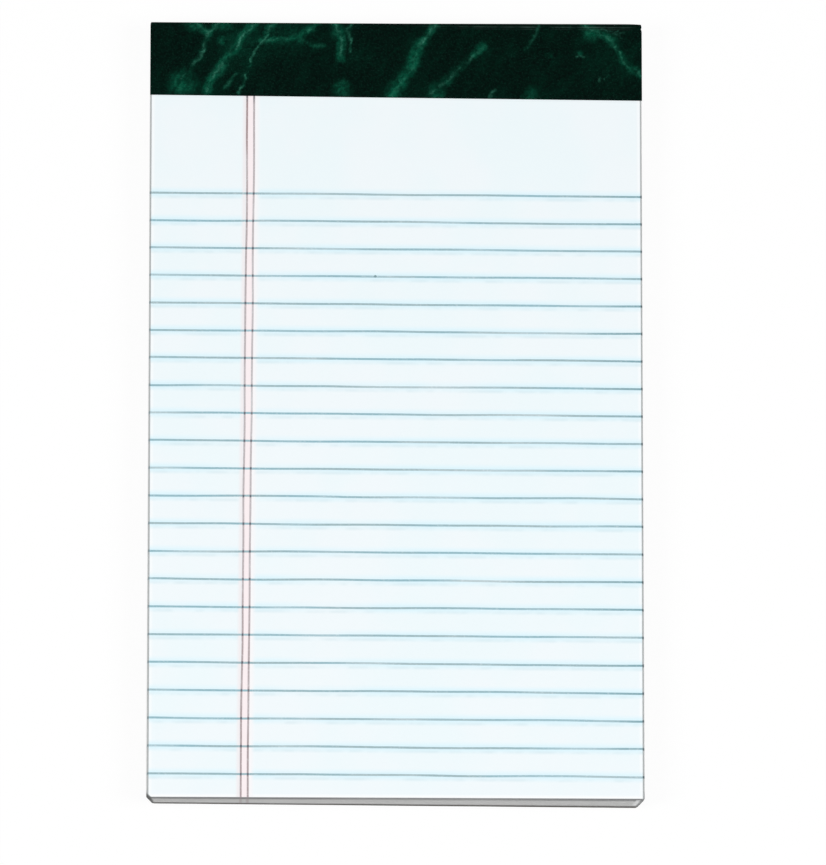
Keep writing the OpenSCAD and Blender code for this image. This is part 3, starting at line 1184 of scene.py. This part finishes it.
class LEGALPAD_OT_rules(bpy.types.Operator):
    """Blue rules printed from side to side of the page, with one small blot"""

    bl_idname = "legal_pad.rules"
    bl_label = "Ruled lines"

    # Share of the film that lies in the paper
    SUNK = 1 / 4

    def execute(self, context):
        look = context.scene.pad_print
        sheets = context.scene.pad_sheets
        lines = InkLines(look, self.SUNK)
        side = PAGE_SIDE - sheets.roll
        trim = sheets.roll / (2 * PAGE_SIDE)
        for number, ends in enumerate(RULES):
            left, right = between(*ends, trim), between(*ends, 1 - trim)
            lines.strip((-side, left), (side, right), RULE_WIDTH, number)
        along = (look.speck_x + PAGE_SIDE) / (2 * PAGE_SIDE)
        middle = between(*RULES[-look.speck_rule], along)
        blot = Vector((look.speck_x, middle + look.speck / 2, PAGE_TOP))
        lines.blot(blot.x, blot.y, look.speck)
        materials = (rule_ink(look, sheets.paper, blot),)
        add_piece("rule_print", lines.points, lines.faces, "ruled_lines", materials)
        return {"FINISHED"}


class LEGALPAD_OT_margin(bpy.types.Operator):
    """Double red margin line, printed over the rules from the tape to the foot"""

    bl_idname = "legal_pad.margin"
    bl_label = "Margin lines"

    # Share of the film that lies in the paper, less than the rules' because it is printed over them
    SUNK = 1 / 8
    # Number of the first line, past those of the rules, so that it strays in its own way
    FIRST = 40

    def execute(self, context):
        look = context.scene.pad_print
        sheets = context.scene.pad_sheets
        lines = InkLines(look, self.SUNK)
        trim = sheets.foot_roll / (MARGIN_HIGH.y - MARGIN_LOW.y)
        for number, ends in enumerate(MARGINS, self.FIRST):
            foot = (between(*ends, trim), PAGE_FOOT + sheets.foot_roll)
            lines.strip(foot, (ends[1], MARGIN_HIGH.y), MARGIN_WIDTH, number)
        materials = (margin_ink(look, sheets.paper),)
        add_piece("margin_print", lines.points, lines.faces, "margin_lines", materials)
        return {"FINISHED"}


class LEGALPAD_OT_stage(bpy.types.Operator):
    """White floor, soft lamps at both sides and the camera above the foot"""

    bl_idname = "legal_pad.stage"
    bl_label = "Studio"

    # Gap below the pad that keeps its underside off the floor's own face
    FLOOR_GAP = 0.02 * MM
    SENSOR = 36.0
    WHITE = (1, 1, 1)
    FLOOR_GREY = (0.9, 0.9, 0.9)

    def backdrop(self, finish, unseen, seen, output):
        """Ends a shader that has its own look where it is seen, straight, mirrored or through glass."""
        path = finish.node("ShaderNodeLightPath").socket.node
        kinds = ("Camera", "Glossy", "Transmission")
        rays = [Value(finish, path.outputs[f"Is {kind} Ray"]) for kind in kinds]
        looked_at = rays[0].higher(rays[1]).higher(rays[2])
        shown = finish.node("ShaderNodeMixShader", None, {0: looked_at, 1: unseen, 2: seen})
        finish.node(output, None, {"Surface": shown})

    def floor(self, scene, look):
        """A wide white floor that keeps a faint shadow."""
        half = look.floor / 2
        z = CAD_BOX[0].z - self.FLOOR_GAP
        mesh = bpy.data.meshes.new("studio_floor")
        corners = [(-half, -half, z), (half, -half, z), (half, half, z), (-half, half, z)]
        mesh.from_pydata(corners, [], [(0, 1, 2, 3)])
        finish = new_finish("white_floor")
        plain = finish.node("ShaderNodeBsdfDiffuse", None, {"Color": self.FLOOR_GREY})
        shaded = finish.node("ShaderNodeBsdfDiffuse", None, {"Color": self.WHITE})
        glow = finish.node("ShaderNodeEmission", None, {"Color": self.WHITE, "Strength": 1.0})
        white = finish.node("ShaderNodeMixShader", None, {0: look.floor_glow, 1: shaded, 2: glow})
        self.backdrop(finish, plain, white, "ShaderNodeOutputMaterial")
        mesh.materials.append(finish.owner)
        floor = bpy.data.objects.new("studio_floor", mesh)
        scene.collection.objects.link(floor)
        floor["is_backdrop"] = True

    def world(self, scene, look):
        """White all round where it is looked at, and a soft light on the pad."""
        scene.world = bpy.data.worlds.new("studio")
        finish = Finish(scene.world)
        soft, white = (
            finish.node("ShaderNodeBackground", None, {"Color": self.WHITE, "Strength": strength})
            for strength in (look.ambient, 1.0)
        )
        self.backdrop(finish, soft, white, "ShaderNodeOutputWorld")

    def lamp(self, scene, look, side):
        """A square lamp at one side, turned to the middle of the pad."""
        data = bpy.data.lights.new("side_lamp", "AREA")
        data.size = look.lamp_size
        data.energy = look.lamp_power
        lamp = bpy.data.objects.new("side_lamp", data)
        lamp.location = (side * look.lamp_reach, -look.lamp_lead, look.lamp_height)
        lamp.rotation_euler = (-lamp.location).to_track_quat("-Z", "Y").to_euler()
        scene.collection.objects.link(lamp)

    def camera(self, scene, look):
        """A long lens that looks down on the page from beyond its foot."""
        flat = Vector((math.sin(look.turn), math.cos(look.turn), 0))
        sight = flat * math.sin(look.tilt) - Vector((0, 0, math.cos(look.tilt)))
        right = Vector((math.cos(look.turn), -math.sin(look.turn), 0))
        up = right.cross(sight)
        across = right * math.cos(look.roll) + up * math.sin(look.roll)
        upward = up * math.cos(look.roll) - right * math.sin(look.roll)
        data = bpy.data.cameras.new("page_camera")
        data.sensor_fit = "VERTICAL"
        data.sensor_height = self.SENSOR
        data.lens = look.lens
        camera = bpy.data.objects.new("page_camera", data)
        turned = Matrix((across, upward, -sight)).transposed().to_4x4()
        eye = Vector((look.aim_x, look.aim_y, PAGE_TOP)) - sight * look.distance
        camera.matrix_world = Matrix.Translation(eye) @ turned
        scene.collection.objects.link(camera)
        scene.camera = camera

    def execute(self, context):
        scene = context.scene
        look = scene.pad_stage
        self.floor(scene, look)
        self.world(scene, look)
        self.lamp(scene, look, -1)
        self.lamp(scene, look, 1)
        self.camera(scene, look)
        scene.view_settings.view_transform = "Standard"
        return {"FINISHED"}


OPERATORS = (
    LEGALPAD_OT_sheets,
    LEGALPAD_OT_board,
    LEGALPAD_OT_tape,
    LEGALPAD_OT_wire,
    LEGALPAD_OT_rules,
    LEGALPAD_OT_margin,
    LEGALPAD_OT_stage,
)


class LEGALPAD_PT_sidebar(bpy.types.Panel):
    """Settings and steps of the legal pad"""

    bl_idname = "LEGALPAD_PT_sidebar"
    bl_label = "Legal Pad"
    bl_space_type = "VIEW_3D"
    bl_region_type = "UI"
    bl_category = "Legal Pad"

    def draw(self, context):
        for name, group in SETTINGS.items():
            box = self.layout.box()
            box.label(text=group.__doc__)
            for setting in group.__annotations__:
                box.prop(getattr(context.scene, name), setting)
        for operator in OPERATORS:
            self.layout.operator(operator.bl_idname)


CLASSES = (*SETTINGS.values(), *OPERATORS, LEGALPAD_PT_sidebar)


def register():
    """Adds the settings, steps and panel to Blender."""
    for made in CLASSES:
        bpy.utils.register_class(made)
    for name, group in SETTINGS.items():
        setattr(bpy.types.Scene, name, bpy.props.PointerProperty(type=group))


def unregister():
    """Takes the settings, steps and panel out of Blender."""
    for name in SETTINGS:
        delattr(bpy.types.Scene, name)
    for made in reversed(CLASSES):
        bpy.utils.unregister_class(made)


def main():
    """Builds the pad and its studio, and works out both boxes."""
    register()
    bpy.ops.legal_pad.sheets()
    bpy.ops.legal_pad.board()
    bpy.ops.legal_pad.tape()
    bpy.ops.legal_pad.wire()
    bpy.ops.legal_pad.rules()
    bpy.ops.legal_pad.margin()
    bpy.ops.legal_pad.stage()
    boxes = {"cad": CAD_BOX, "visual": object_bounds()}
    {name: [list(corner) for corner in box] for name, box in boxes.items()}


if __name__ == "__main__":
    main()
